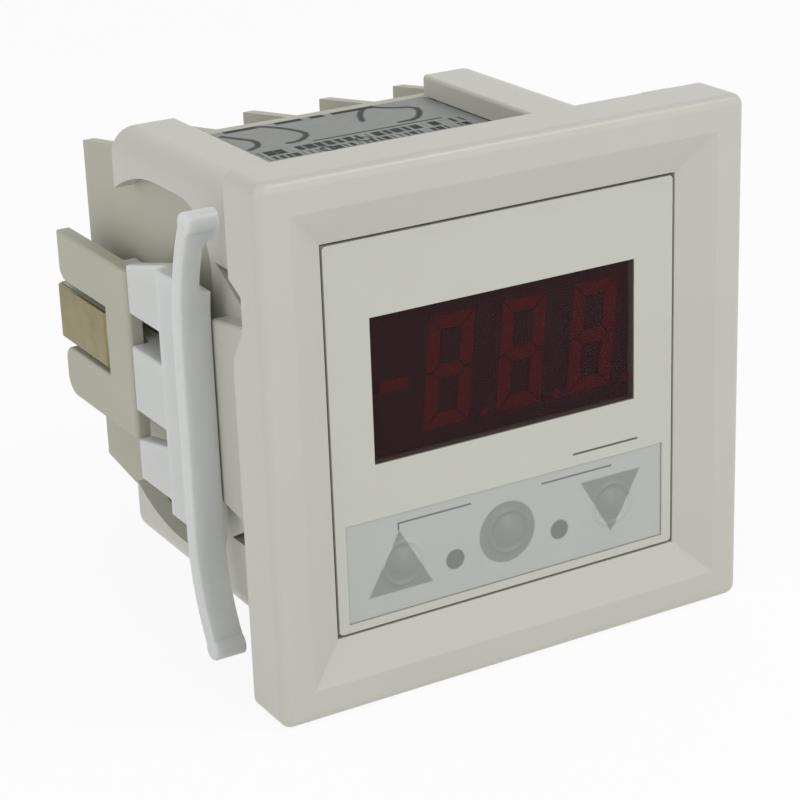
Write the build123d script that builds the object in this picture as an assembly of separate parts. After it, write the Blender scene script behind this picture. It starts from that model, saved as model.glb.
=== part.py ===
from build123d import *
import math
import os

"""Panel-mounted digital flow switch: a display unit in its panel adapter.

Sizes are in millimetres. The origin is the centre of the panel cut-out, in the plane where
the rear face of the front frame meets the panel. Seen from the front, +X is to the right and
+Z is up. +Y goes back through the panel.
"""

# Front frame and the adapter's sleeve
frame_overlap = 2.0
frame_thickness = 4.6
frame_corner = 0.9
frame_edge_round = 0.8
frame_notch_depth = 1.7
frame_notch_low = 6.6
frame_notch_high = 12.5
frame_rim = 2.5
rim_edge_round = 0.3
bevel_depth = 1.4
lip_depth = 1.0
sleeve_length = 26.1
side_wall = 1.55
rail_wall = 1.7
sleeve_corner = 2.0
rail_width = 3.9
rail_edge_round = 0.3
side_window_margin = 0.8
side_window_front = 9.6
side_window_arch = 8.0
side_window_drop = 2.15
pad_rise = 1.3
pad_length = 8.3
pad_half_height = 7.0
pad_slope = 1.2
pad_corner = 1.2
pad_edge_round = 0.3
relief_height = 2.5
relief_front = 4.6
relief_back = 8.9
snap_length = 2.0
snap_depth = 0.45
snap_width = 2.4
snap_margin = 1.0

# Display unit's case
case_size = 30.0
case_length = 26.5
case_corner = 0.7
case_wall = 1.5
case_front_wall = 1.5
case_gap = 0.15
face_step = 0.5
face_gap = 0.2
sheet_thickness = 0.25
sheet_corner = 0.3
moving_gap = 0.2
fit_gap = 0.05

# Window and LED display
window_width = 22.2
window_height = 10.9
window_height_centre = 3.34
window_thickness = 0.6
window_setback = 0.05
digit_count = 3
digit_pitch = 6.05
digit_first_x = -4.5
digit_width = 3.6
digit_height = 8.0
digit_slant = 9.0
segment_width = 0.95
segment_gap = 0.12
segment_depth = 0.5
point_radius = 0.43
minus_width = 2.0
minus_offset = 5.15
display_depth = 6.5
pin_radius = 0.25
pin_count = 6
pin_length = 2.2
pin_row_margin = 1.5

# Keys, film and lamps
key_pitch = 9.1
key_centre_z = -10.1
triangle_width = 5.3
triangle_height = 4.6
round_key_radius = 2.35
round_key_flange = 0.55
triangle_key_flange = 2.2
key_flange_depth = 0.5
key_stem_radius = 1.1
key_travel = 0.25
dome_radius = 1.45
dome_height = 0.32
film_width = 27.3
film_height = 7.6
film_centre_z = -10.05
film_thickness = 0.15
lamp_radius = 0.7
lamp_collar = 0.4
lamp_z = -11.1
switch_size = 4.5
switch_corner = 0.4
switch_body_depth = 2.1
switch_stem_radius = 0.95

# Boards and what they carry
board_gap = 0.3
board_thickness = 1.0
post_size = 1.8
rear_board_gap = 1.9
main_board_top = -5.2
header_width = 15.2
header_depth = 2.5
header_height = 2.5
header_pitch = 2.54
header_groove = 0.6
header_groove_depth = 0.4
chip_size = 7.0
chip_thickness = 1.2
chip_leads = 8
chip_corner = 0.3
chip_stand = 0.1
chip_margin = 1.0
lead_size = 0.3
lead_reach = 1.0
capacitor_radius = 2.5
capacitor_height = 5.4
capacitor_edge = 0.4
crimp_radius = 0.35
crimp_depth = 0.25
crimp_height = 1.2
transistor_width = 4.2
transistor_height = 3.6
transistor_thickness = 2.2
transistor_bevel = 0.6

# Terminal block
terminal_columns = 4
barrier_thickness = 1.0
spine_thickness = 2.5
block_inset = 0.1
fin_edge_round = 0.2
block_spigot = 2.2
block_base = 1.8
block_length = 9.7
block_taper = 1.45
screw_row_z = 7.2
screw_head_gap = 0.35
screw_head_height = 1.9
screw_radius = 1.45
screw_length = 5.0
screw_slot_width = 0.7
screw_slot_depth = 1.1
screw_slot_length = 4.1
screw_tip_gap = 0.4
washer_gap = 0.3
washer_thickness = 0.7
plate_gap = 0.25
plate_thickness = 0.8
plate_top = 11.4
tail_width = 2.0
clearance_hole = 0.1

# Side lugs and their spring clips
lug_reach = 3.3
lug_wall = 1.2
lug_half_height = 6.9
lug_front = 21.8
lug_back = 35.1
lug_corner = 1.6
lug_edge_round = 0.25
lug_front_round = 0.4
lug_slot_half = 2.8
lug_slot_front = 26.2
lug_web = 1.2
lug_web_inset = 1.0
lug_fork_round = 1.2
tongue_wall = 0.7
tongue_length = 9.4
clip_sheet = 0.35
clip_half_height = 2.25
clip_tongue_gap = 0.05
clip_bend = 0.5

# Panel clamps
leaf_gap = 0.2
leaf_width = 2.5
leaf_top = 14.75
leaf_bottom = -17.15
leaf_straight_top = 6.0
leaf_straight_bottom = -9.2
leaf_thickness = 1.3
leaf_front = 7.1
leaf_bow = 2.2
leaf_tip_radius = 0.85
leaf_notch_low = 9.4
leaf_notch_high = 13.6
leaf_notch_depth = 0.9
thinnest_panel = 1.0
clamp_wall = 1.2
clamp_step = 0.6
root_top = 9.4
finger_gap = 0.4
finger_stop_gap = 0.3
finger_top = 7.5
finger_bottom = -10.0
upper_slot_top = 3.6
upper_slot_bottom = 1.0
lower_slot_top = -4.3
lower_slot_neck = 1.0
lower_slot_mouth = 2.6
lower_slot_corner = 0.4
arm_gap = 0.4
arm_top = 6.3
arm_back = 26.2
clamp_edge_round = 0.3

# Wiring label
label_gap = 0.1
label_thickness = 0.1
label_front = 1.6
label_back = 26.0

# Places that follow from the sizes
frame_front = -frame_thickness
face_y = frame_front + bevel_depth
lip_back = face_y + lip_depth
face_size = case_size - 2 * face_step
face_opening = face_size + 2 * face_gap
sleeve_inside = case_size + 2 * case_gap
sleeve_width = sleeve_inside + 2 * side_wall
sleeve_height = sleeve_inside + 2 * rail_wall
side_window_half = sleeve_inside / 2 - side_window_margin
rail_inner_edge = case_size / 2 - rail_width
panel_cutout = sleeve_width + 2 * pad_rise
frame_size = panel_cutout + 2 * frame_overlap
bevel_mouth = frame_size - 2 * frame_rim
sheet_back = face_y + sheet_thickness
wall_back = sheet_back + case_front_wall
window_front = face_y + window_setback
display_front = window_front + window_thickness
display_board_y = display_front + display_depth
film_front = sheet_back - film_thickness
key_front = sheet_back + fit_gap
key_x = {"up": -key_pitch, "set": 0.0, "down": key_pitch}
switch_front = display_board_y - switch_body_depth
block_front = case_length - block_spigot
block_floor = case_length + block_base
block_back = case_length + block_length
rear_board_y = block_front - rear_board_gap - board_thickness
board_size = case_size - 2 * case_wall - 2 * board_gap
terminal_pitch = (case_size - 2 * block_inset - barrier_thickness) / terminal_columns
cell_width = terminal_pitch - barrier_thickness
screw_head_radius = cell_width / 2 - screw_head_gap
washer_size = cell_width - 2 * washer_gap
plate_width = cell_width - 2 * plate_gap
lug_outer = case_size / 2 + lug_reach
leaf_inner = panel_cutout / 2 + leaf_gap
root_outer = leaf_inner + clamp_wall
finger_inner = sleeve_width / 2 + finger_gap
finger_back = lug_front - finger_stop_gap
arm_inner = case_size / 2 + arm_gap
label_width = 2 * (rail_inner_edge - label_gap)
snap_inner_edge = rail_inner_edge + moving_gap
barrier_outer = (terminal_columns * terminal_pitch + barrier_thickness) / 2
clamp_travel = leaf_front - leaf_bow - (leaf_tip_radius - leaf_thickness / 2) - thinnest_panel
root_back = pad_length + clamp_travel + 2 * moving_gap
finger_front = root_back + root_outer - lug_outer + clamp_step
plate_back = block_floor + plate_thickness
washer_back = plate_back + washer_thickness
column_x = [(i - (terminal_columns - 1) / 2) * terminal_pitch for i in range(terminal_columns)]
screw_places = [(x, side * screw_row_z) for side in (1, -1) for x in column_x]


def front_plane(y):
    """The plane at depth y, drawn on as seen from the front, whose solids grow forwards."""
    return Plane((0, y, 0), x_dir=(1, 0, 0), z_dir=(0, -1, 0))


def slab(outline, y_front, y_back):
    """An outline drawn as seen from the front, carried from y_front back to y_back."""
    return extrude(front_plane(y_back) * outline, amount=y_back - y_front)


def block(x_range, y_range, z_range):
    """A rectangular block between two values on each axis."""
    spans = (x_range, y_range, z_range)
    centre = [(low + high) / 2 for low, high in spans]
    return Pos(*centre) * Box(*[high - low for low, high in spans])


def rod(radius, y_front, y_back, x=0.0, z=0.0):
    """A round rod along Y."""
    return Pos(x, 0, z) * slab(Circle(radius), y_front, y_back)


def side_plate(outline, x_inner, x_outer):
    """An outline drawn in Y and Z, given its thickness from x_inner out to x_outer."""
    plane = Plane((x_inner, 0, 0), x_dir=(0, 1, 0), z_dir=(1, 0, 0))
    return extrude(plane * outline, amount=x_outer - x_inner)


def mirrored(solid):
    """The same solid on the left side."""
    return mirror(solid, about=Plane.YZ)


def frame_moulding():
    """The square front frame with rounded front edges and a bevel that sinks to the face."""
    frame = slab(RectangleRounded(frame_size, frame_size, frame_corner), frame_front, 0)
    front_face = frame.faces().sort_by(Axis.Y)[0]
    frame = fillet(front_face.edges(), frame_edge_round)
    mouth = front_plane(frame_front) * Rectangle(bevel_mouth, bevel_mouth)
    foot = front_plane(face_y) * Rectangle(face_opening, face_opening)
    frame -= loft([mouth, foot])
    reach = bevel_mouth / 2 + fit_gap
    bevel_edges = [edge for edge in frame.edges()
                   if max(abs(edge.center().X), abs(edge.center().Z)) < reach
                   and edge.center().Y < face_y - fit_gap]
    return fillet(bevel_edges, rim_edge_round)


def sleeve_moulding():
    """Four corner arms: a square sleeve opened above, below and at both sides."""
    outline = RectangleRounded(sleeve_width, sleeve_height, sleeve_corner)
    sleeve = slab(outline, -frame_thickness / 2, sleeve_length)
    sleeve -= slab(Rectangle(2 * rail_inner_edge, sleeve_height + 1), 0, sleeve_length)
    rail_edges = [edge for edge in sleeve.edges().filter_by(Axis.Y)
                  if abs(abs(edge.center().X) - rail_inner_edge) < fit_gap
                  and abs(edge.center().Z) > sleeve_inside / 2 + fit_gap]
    sleeve = fillet(rail_edges, rail_edge_round)
    return sleeve - side_plate(side_window(), -case_size, case_size)


def side_window():
    """The opening in both flanks, in Y and Z: its rear corners droop in a long arc."""
    half = side_window_half
    back = sleeve_length
    arch_front = back - side_window_arch
    radius = (side_window_arch**2 + side_window_drop**2) / (2 * side_window_drop)
    outline = Pos((side_window_front + back) / 2, 0) * Rectangle(back - side_window_front, 2 * half)
    outline = fillet(outline.vertices().group_by(Axis.X)[0], half / 3)
    rear = Pos((arch_front + back) / 2, 0) * Rectangle(side_window_arch, 2 * half)
    upper = Pos(arch_front, half - radius) * Circle(radius)
    lower = Pos(arch_front, radius - half) * Circle(radius)
    return outline - (rear - (upper & lower))


def locating_pad():
    """The raised pad on the right flank that fills the cut-out, with sloped ends."""
    outer = panel_cutout / 2
    low = pad_half_height
    high = pad_half_height + pad_slope
    outline = Polyline((0, -high), (0, high), (pad_length, low), (pad_length, -low), close=True)
    pad = side_plate(make_face(outline), sleeve_inside / 2, outer)
    pad = fillet(pad.edges().filter_by(Axis.X).group_by(Axis.Y)[-1], pad_corner)
    return fillet(pad.faces().sort_by(Axis.X)[-1].edges().sort_by(Axis.Y)[1:], pad_edge_round)


def pad_relief(side):
    """The three-cornered hole beside one end of a pad, which lets the flank spring."""
    near = side * (pad_half_height + pad_slope)
    far = near + side * relief_height
    outline = Polyline((relief_front, near), (relief_front, far), (relief_back, far), close=True)
    return side_plate(make_face(outline), sleeve_inside / 2 - 1, panel_cutout / 2 + 1)


def frame_notch():
    """The notch in the frame's rear edge beside the upper end of the right pad."""
    floor = -frame_notch_depth
    rise = 0.5 * frame_notch_depth
    outline = Polyline((0, frame_notch_low), (floor, frame_notch_low + 3 * rise),
                       (floor, frame_notch_high - rise), (0, frame_notch_high), close=True)
    return side_plate(make_face(outline), panel_cutout / 2, frame_size)


def snap_nose(side_x, side_z):
    """A wedge under the end of one rail, which catches in the case."""
    wall = sleeve_inside / 2
    back = sleeve_length - snap_margin
    outline = Polyline((back - snap_length, wall), (back - snap_length, wall - snap_depth),
                       (back, wall), close=True)
    nose = side_plate(make_face(outline), snap_inner_edge, snap_inner_edge + snap_width)
    nose = nose if side_x > 0 else mirrored(nose)
    return nose if side_z > 0 else mirror(nose, about=Plane.XY)


def panel_adapter():
    """The one-piece moulding: front frame, corner arms, locating pads and snap noses."""
    body = frame_moulding() + sleeve_moulding()
    right_pad = locating_pad()
    body += right_pad + mirrored(right_pad)
    body -= slab(Rectangle(face_opening, face_opening), frame_front - 1, lip_back)
    body -= slab(Rectangle(sleeve_inside, sleeve_inside), lip_back, sleeve_length + 1)
    notch = frame_notch()
    body -= notch + mirrored(notch)
    for side in (1, -1):
        relief = pad_relief(side)
        body -= relief + mirrored(relief)
    for side_x in (1, -1):
        for side_z in (1, -1):
            body += snap_nose(side_x, side_z)
    return body


def triangle_outline(grow=0.0):
    """The key's triangle, point up, centred on its own height and grown evenly all round."""
    half = triangle_width / 2
    low, high = -triangle_height / 2, triangle_height / 2
    outline = make_face(Polyline((-half, low), (half, low), (0, high), close=True))
    return offset(outline, grow, kind=Kind.INTERSECTION) if grow else outline


def key_outline(name, grow=0.0):
    """A key's outline as seen from the front, at its place."""
    if name == "set":
        outline = Circle(round_key_radius + grow)
    elif name == "up":
        outline = triangle_outline(grow)
    else:
        outline = Rot(0, 0, 180) * triangle_outline(grow)
    return Pos(key_x[name], key_centre_z) * outline


def dome(radius, height, base_y, x):
    """A spherical cap that stands forward of the plane at base_y."""
    ball = (radius**2 + height**2) / (2 * height)
    sphere = Pos(x, base_y - height + ball, key_centre_z) * Sphere(ball)
    return sphere & rod(radius + 1, base_y - height - 1, base_y, x, key_centre_z)


def key_plunger(name):
    """A key: its cap in the case's hole, a flange behind the wall, and a stem to the switch."""
    cap = slab(key_outline(name, -moving_gap / 2), key_front, wall_back + moving_gap / 2)
    flange_front = wall_back + moving_gap / 2
    flange_radius = round_key_radius + round_key_flange if name == "set" else triangle_key_flange
    flange = rod(flange_radius, flange_front, flange_front + key_flange_depth,
                 key_x[name], key_centre_z)
    stem_front = switch_front - switch_stem_reach()
    stem = rod(key_stem_radius, flange_front, stem_front, key_x[name], key_centre_z)
    nub = dome(dome_radius - 3 * fit_gap, dome_height - 2 * fit_gap, key_front, key_x[name])
    return cap + flange + stem + nub


def switch_stem_reach():
    """How far a tact switch's stem stands in front of its body."""
    return switch_body_depth / 3


def switch_stem(name):
    """The tact switch's own plunger, which the key pushes."""
    front = switch_front - switch_stem_reach()
    back = switch_front + switch_body_depth / 2
    return rod(switch_stem_radius, front, back, key_x[name], key_centre_z)


def tact_switch(name):
    """A tact switch's square body with the well that its plunger moves in."""
    outline = Pos(key_x[name], key_centre_z) * RectangleRounded(switch_size, switch_size, switch_corner)
    body = slab(outline, switch_front, display_board_y)
    well_back = switch_front + switch_body_depth / 2 + key_travel + fit_gap
    return body - rod(switch_stem_radius + fit_gap, switch_front, well_back,
                      key_x[name], key_centre_z)


def key_film():
    """The clear film over the keys, embossed with a dome over each one."""
    outline = Pos(0, film_centre_z) * Rectangle(film_width, film_height)
    film = slab(outline, film_front, sheet_back)
    for x in key_x.values():
        film += dome(dome_radius, dome_height, film_front, x)
    for x in key_x.values():
        film -= dome(dome_radius - fit_gap, dome_height, sheet_back, x)
    return film


def lamp(side):
    """An output lamp: a domed LED whose nose fills its hole in the front wall."""
    x = side * key_pitch / 2
    nose = rod(lamp_radius, key_front, display_board_y, x, lamp_z)
    nose = fillet(nose.edges().sort_by(Axis.Y)[0], lamp_radius / 2)
    return nose + rod(lamp_radius + lamp_collar, switch_front, display_board_y, x, lamp_z)


def window_outline(inset=0.0):
    """The display window as seen from the front."""
    size = Rectangle(window_width - 2 * inset, window_height - 2 * inset)
    return Pos(0, window_height_centre) * size


def face_sheet():
    """The printed sheet stuck on the case, with the window and the film's opening cut out."""
    sheet = slab(RectangleRounded(face_size, face_size, sheet_corner), face_y, sheet_back)
    film_hole = Pos(0, film_centre_z) * Rectangle(film_width + fit_gap, film_height + fit_gap)
    return sheet - slab(window_outline(), face_y, sheet_back) - slab(film_hole, face_y, sheet_back)


def display_window():
    """The dark red filter in front of the digits."""
    return slab(window_outline(fit_gap), window_front, display_front)


def display_case():
    """The display unit's case: a square tube closed at the front by the key wall."""
    step = slab(Rectangle(face_size, face_size), sheet_back, lip_back)
    body = slab(RectangleRounded(case_size, case_size, case_corner), lip_back, case_length)
    inside = case_size - 2 * case_wall
    case = step + body - slab(Rectangle(inside, inside), wall_back, case_length)
    case += board_posts(inside)
    case -= slab(window_outline(), sheet_back, wall_back)
    for name in key_x:
        case -= slab(key_outline(name, moving_gap / 2), sheet_back, wall_back)
    for side in (1, -1):
        case -= rod(lamp_radius + fit_gap, sheet_back, wall_back, side * key_pitch / 2, lamp_z)
        for side_z in (1, -1):
            case -= snap_pocket(side, side_z)
    return case


def board_posts(inside):
    """Four corner posts that the display board lies against."""
    place = (inside - post_size) / 2
    posts = None
    for x in (-place, place):
        for z in (-place, place):
            post = Pos(x, 0, z) * slab(Rectangle(post_size, post_size), wall_back, display_board_y)
            posts = post if posts is None else posts + post
    return posts


def snap_pocket(side_x, side_z):
    """The pocket in the case that a snap nose springs into."""
    depth = snap_depth - case_gap + moving_gap
    back = sleeve_length - snap_margin
    front = back - snap_length - moving_gap
    x_range = (snap_inner_edge - moving_gap, snap_inner_edge + snap_width + moving_gap)
    pocket = block(x_range, (front, back), (case_size / 2 - depth, case_size / 2 + 1))
    pocket = pocket if side_x > 0 else mirrored(pocket)
    return pocket if side_z > 0 else mirror(pocket, about=Plane.XY)


def segment_outlines(centre_x):
    """The seven bars of one digit, as slanted six-sided outlines, and its decimal point."""
    half_w = (digit_width - segment_width) / 2
    half_h = (digit_height - segment_width) / 2
    half_bar = segment_width / 2
    lean = math.tan(math.radians(digit_slant))

    def bar(x0, z0, x1, z1):
        length = math.hypot(x1 - x0, z1 - z0) - 2 * segment_gap
        along = ((x1 - x0) / (length + 2 * segment_gap), (z1 - z0) / (length + 2 * segment_gap))
        middle = ((x0 + x1) / 2, (z0 + z1) / 2)
        ends = [(-length / 2, 0), (-length / 2 + half_bar, half_bar), (length / 2 - half_bar, half_bar),
                (length / 2, 0), (length / 2 - half_bar, -half_bar), (-length / 2 + half_bar, -half_bar)]
        points = []
        for a, b in ends:
            x = middle[0] + a * along[0] - b * along[1]
            z = middle[1] + a * along[1] + b * along[0]
            points.append((centre_x + x + z * lean, window_height_centre + z))
        return make_face(Polyline(*points, close=True))

    rows = (half_h, 0, -half_h)
    bars = [bar(-half_w, z, half_w, z) for z in rows]
    for x in (-half_w, half_w):
        bars += [bar(x, 0, x, half_h), bar(x, -half_h, x, 0)]
    point_x = centre_x + digit_width / 2 + segment_gap - half_h * lean + half_bar / 2
    bars.append(Pos(point_x, window_height_centre - half_h) * Circle(point_radius))
    return bars


def minus_outline():
    """The minus sign to the left of the digits."""
    lean = math.tan(math.radians(digit_slant)) * segment_width / 2
    x = digit_first_x - minus_offset
    half = minus_width / 2
    low = window_height_centre - segment_width / 2
    high = window_height_centre + segment_width / 2
    corners = ((x - half - lean, low), (x + half - lean, low), (x + half + lean, high),
               (x - half + lean, high))
    return make_face(Polyline(*corners, close=True))


def all_segment_outlines():
    """Every bar and point of the display."""
    outlines = [minus_outline()]
    for index in range(digit_count):
        outlines += segment_outlines(digit_first_x + index * digit_pitch)
    return outlines


def display_segments():
    """The light guides of the bars, each a solid of its own."""
    return [slab(outline, display_front, display_front + segment_depth)
            for outline in all_segment_outlines()]


def pin_places():
    """Where the display's pins pass through the board."""
    spacing = window_width / (pin_count + 1)
    xs = [(i - (pin_count - 1) / 2) * spacing for i in range(pin_count)]
    offset_z = window_height / 2 - pin_row_margin
    return [(x, window_height_centre + side * offset_z) for side in (1, -1) for x in xs]


def display_module():
    """The LED display's body, with a well for each bar and its pins behind."""
    body = slab(window_outline(moving_gap), display_front, display_board_y)
    for outline in all_segment_outlines():
        body -= slab(outline, display_front, display_front + segment_depth)
    for x, z in pin_places():
        body += rod(pin_radius, display_board_y - fit_gap, display_board_y + pin_length, x, z)
    return body


def display_board():
    """The upright board behind the display, keys and lamps."""
    board = slab(Rectangle(board_size, board_size), display_board_y,
                 display_board_y + board_thickness)
    for x, z in pin_places():
        board -= rod(pin_radius + fit_gap, display_board_y, display_board_y + board_thickness, x, z)
    return board


def main_board():
    """The level board that joins the display board to the terminal board."""
    front = display_board_y + board_thickness
    return block((-board_size / 2, board_size / 2), (front, rear_board_y),
                 (main_board_top - board_thickness, main_board_top))


def terminal_board():
    """The upright board that the terminals' tails are soldered into."""
    board = slab(Rectangle(board_size, board_size), rear_board_y, rear_board_y + board_thickness)
    for x, z in tail_places():
        tail = Pos(x, z) * Rectangle(tail_width + clearance_hole, plate_thickness + clearance_hole)
        board -= slab(tail, rear_board_y, rear_board_y + board_thickness)
    return board


def board_header(front):
    """A strip of header pins in its plastic bar, standing on the main board."""
    back = front + header_depth
    bar = block((-header_width / 2, header_width / 2), (front, back),
                (main_board_top, main_board_top + header_height))
    top = main_board_top + header_height
    count = int(header_width // header_pitch)
    for i in range(1, count):
        x = (i - count / 2) * header_pitch
        bar -= block((x - header_groove / 2, x + header_groove / 2), (front, back),
                     (top - header_groove_depth, top))
    return bar


def controller_chip():
    """The controller: a flat square package with gull-wing leads on four sides."""
    middle_y = (display_board_y + rear_board_y) / 2
    middle_x = -board_size / 4
    place = Pos(middle_x, middle_y, main_board_top + chip_thickness / 2 + chip_stand)
    chip = place * Box(chip_size, chip_size, chip_thickness)
    chip = chamfer(chip.edges().filter_by(Axis.Z), chip_corner)
    spacing = (chip_size - chip_margin) / chip_leads
    across = chip_size + 2 * lead_reach
    lead_z = main_board_top + lead_size / 2
    for i in range(chip_leads):
        shift = (i - (chip_leads - 1) / 2) * spacing
        chip += Pos(middle_x + shift, middle_y, lead_z) * Box(lead_size, across, lead_size)
        chip += Pos(middle_x, middle_y + shift, lead_z) * Box(across, lead_size, lead_size)
    return chip


def smoothing_capacitor():
    """An electrolytic capacitor standing on the main board."""
    middle_y = (display_board_y + rear_board_y) / 2
    x = board_size / 4
    can = Pos(x, middle_y, main_board_top + capacitor_height / 2)
    body = can * Cylinder(capacitor_radius, capacitor_height)
    top = body.edges().sort_by(Axis.Z)[-1]
    body = fillet(top, capacitor_edge)
    ring = Torus(capacitor_radius + crimp_radius - crimp_depth, crimp_radius)
    ring = Pos(x, middle_y, main_board_top + crimp_height) * ring
    return body - ring


def output_transistor(side):
    """One of the two output transistors under the main board."""
    x = side * board_size / 4
    middle_y = rear_board_y - transistor_width
    high = main_board_top - board_thickness
    body = block((x - transistor_width / 2, x + transistor_width / 2),
                 (middle_y - transistor_thickness / 2, middle_y + transistor_thickness / 2),
                 (high - transistor_height, high))
    return chamfer(body.edges().filter_by(Axis.Z).group_by(Axis.Y)[0], transistor_bevel)


def block_envelope():
    """The terminal block's outside, square at the case and tapering in height to the back."""
    wide, narrow = case_size, case_size - 2 * block_taper
    front = front_plane(case_length) * Rectangle(wide, wide)
    back = front_plane(block_back) * Rectangle(wide, narrow)
    return loft([front, back])


def tail_places():
    """Where each terminal's tail goes through to the board."""
    tail_z = spine_thickness / 2 + plate_thickness
    return [(x, side * tail_z) for side in (1, -1) for x in column_x]


def terminal_block():
    """The finned block: barriers between the screws, a spine, a spigot and two side lugs."""
    body = block_envelope()
    inside = case_size - 2 * case_wall - 2 * fit_gap
    for x in column_x:
        for side in (1, -1):
            z_range = sorted((side * spine_thickness / 2, side * case_size))
            body -= block((x - cell_width / 2, x + cell_width / 2),
                          (block_floor, block_back + 1), z_range)
    for side in (1, -1):
        x_range = sorted((side * barrier_outer, side * case_size))
        body -= block(x_range, (block_floor, block_back + 1), (-case_size, case_size))
    body = fillet(body.faces().sort_by(Axis.Y)[-1].edges(), fin_edge_round)
    body += slab(Rectangle(inside, inside), block_front, case_length)
    for x, z in screw_places:
        body -= rod(screw_radius + clearance_hole, block_floor - screw_length, block_floor, x, z)
    for x, z in tail_places():
        tail = Pos(x, z) * Rectangle(tail_width + clearance_hole, plate_thickness + clearance_hole)
        body -= slab(tail, block_front, block_floor)
    right_lug = side_lug()
    return body + right_lug + mirrored(right_lug)


def side_lug():
    """The forked lug that stands off the right side, with the tongue that holds its clip."""
    x_inner = lug_outer - lug_wall
    plate = side_plate(lug_outline(), x_inner, lug_outer)
    front_edge = plate.edges().filter_by(Axis.Z).group_by(Axis.Y)[0]
    plate = fillet(front_edge.sort_by(Axis.X)[-1], lug_front_round)
    outer_face = plate.faces().filter_by(Axis.X).sort_by(Axis.X)[-1]
    plate = fillet(outer_face.edges().sort_by(Axis.Y)[1:], lug_edge_round)
    for side in (1, -1):
        z_range = sorted((side * lug_slot_half, side * (lug_slot_half + lug_web)))
        plate += block((barrier_outer - fit_gap, lug_outer - lug_wall / 2),
                       (arm_back + finger_stop_gap, lug_back - lug_web_inset), z_range)
    tongue_outer = lug_outer - clip_sheet - clip_tongue_gap
    tongue = block((tongue_outer - tongue_wall, tongue_outer),
                   (lug_slot_front - tongue_wall, lug_slot_front + tongue_length),
                   (-clip_half_height, clip_half_height))
    return plate + tongue


def lug_outline():
    """The lug from the side, in Y and Z: a plate open at the back, its rear corners rounded."""
    middle_y, length = (lug_front + lug_back) / 2, lug_back - lug_front
    outline = Pos(middle_y, 0) * Rectangle(length, 2 * lug_half_height)
    slot = lug_back - lug_slot_front
    outline -= Pos(lug_back - slot / 2, 0) * Rectangle(slot, 2 * lug_slot_half)
    rear = outline.vertices().group_by(Axis.X)[-1].sort_by(Axis.Y)
    outline = fillet(rear[1:3], lug_fork_round)
    lower_rear = outline.vertices().group_by(Axis.Y)[0].sort_by(Axis.X)[-1]
    return fillet(lower_rear, lug_corner)


def side_clip():
    """The folded brass clip that grips the lug's tongue."""
    outer = lug_outer
    inner = lug_outer - 2 * clip_sheet - 2 * clip_tongue_gap - tongue_wall
    hollow_back = lug_slot_front + tongue_length + clip_tongue_gap
    front = lug_slot_front + clip_tongue_gap
    z_range = (-clip_half_height, clip_half_height)
    sheet = block((inner, outer), (front, hollow_back + clip_sheet), z_range)
    bends = sheet.edges().filter_by(Axis.Z).group_by(Axis.Y)[-1]
    sheet = fillet(bends, clip_bend)
    return sheet - block((inner + clip_sheet, outer - clip_sheet), (front - 1, hollow_back), z_range)


def terminal_plates():
    """Eight terminal plates, each with a tail bent forwards to the board."""
    plates = []
    for (x, screw_z), (tail_x, tail_z) in zip(screw_places, tail_places()):
        side = 1 if screw_z > 0 else -1
        root = tail_z - side * plate_thickness / 2
        z_range = sorted((root, side * plate_top))
        plate = block((x - plate_width / 2, x + plate_width / 2), (block_floor, plate_back), z_range)
        plate -= rod(screw_radius + clearance_hole / 2, block_floor, plate_back, x, screw_z)
        tail_range = (tail_z - plate_thickness / 2, tail_z + plate_thickness / 2)
        tail_front = rear_board_y - board_thickness / 2
        plate += block((tail_x - tail_width / 2, tail_x + tail_width / 2),
                       (tail_front, plate_back), tail_range)
        plates.append(plate)
    return plates


def terminal_washers():
    """Eight captive square washers."""
    half = washer_size / 2
    outline = RectangleRounded(washer_size, washer_size, half / 3)
    hole = Circle(screw_radius + clearance_hole / 2)
    return [Pos(x, 0, z) * slab(outline - hole, plate_back, washer_back) for x, z in screw_places]


def terminal_screws():
    """Eight pan-head screws with crossed slots."""
    head_back = washer_back + screw_head_height
    head = rod(screw_head_radius, washer_back, head_back)
    head = fillet(head.edges().sort_by(Axis.Y)[-1], screw_head_height / 2)
    slot = Rectangle(screw_slot_length, screw_slot_width)
    cross = slot + Rot(0, 0, 90) * slot
    screw = head - slab(cross, head_back - screw_slot_depth, head_back + 1)
    screw += rod(screw_radius, block_floor - screw_length + screw_tip_gap, washer_back)
    return [Pos(x, 0, z) * screw for x, z in screw_places]


def leaf_end(straight_z, end_z):
    """One bent end of the leaf: an arc that leaves the straight part without a corner."""
    run = abs(end_z - straight_z)
    side = 1 if end_z > straight_z else -1
    radius = (run**2 + leaf_bow**2) / (2 * leaf_bow)
    turn = math.degrees(math.asin(run / radius))
    centre_y = leaf_front - radius
    start = 0 if side > 0 else -turn
    front = CenterArc((centre_y, straight_z), radius, start, turn)
    back = CenterArc((centre_y, straight_z), radius + leaf_thickness, start, turn)
    ends = [Line(front @ t, back @ t) for t in (0, 1)]
    bent = make_face(Curve() + [front, back] + ends)
    middle_radius = radius + leaf_thickness / 2
    tip_y = centre_y + middle_radius * math.cos(math.radians(turn))
    tip_z = straight_z + side * middle_radius * math.sin(math.radians(turn))
    return bent + Pos(tip_y, tip_z) * Circle(leaf_tip_radius)


def leaf_outline():
    """The leaf seen from the side, in Y and Z: straight in the middle, its ends bent forwards."""
    middle = Pos(leaf_front + leaf_thickness / 2, (leaf_straight_top + leaf_straight_bottom) / 2)
    outline = middle * Rectangle(leaf_thickness, leaf_straight_top - leaf_straight_bottom)
    outline += leaf_end(leaf_straight_top, leaf_top)
    return outline + leaf_end(leaf_straight_bottom, leaf_bottom)


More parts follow.
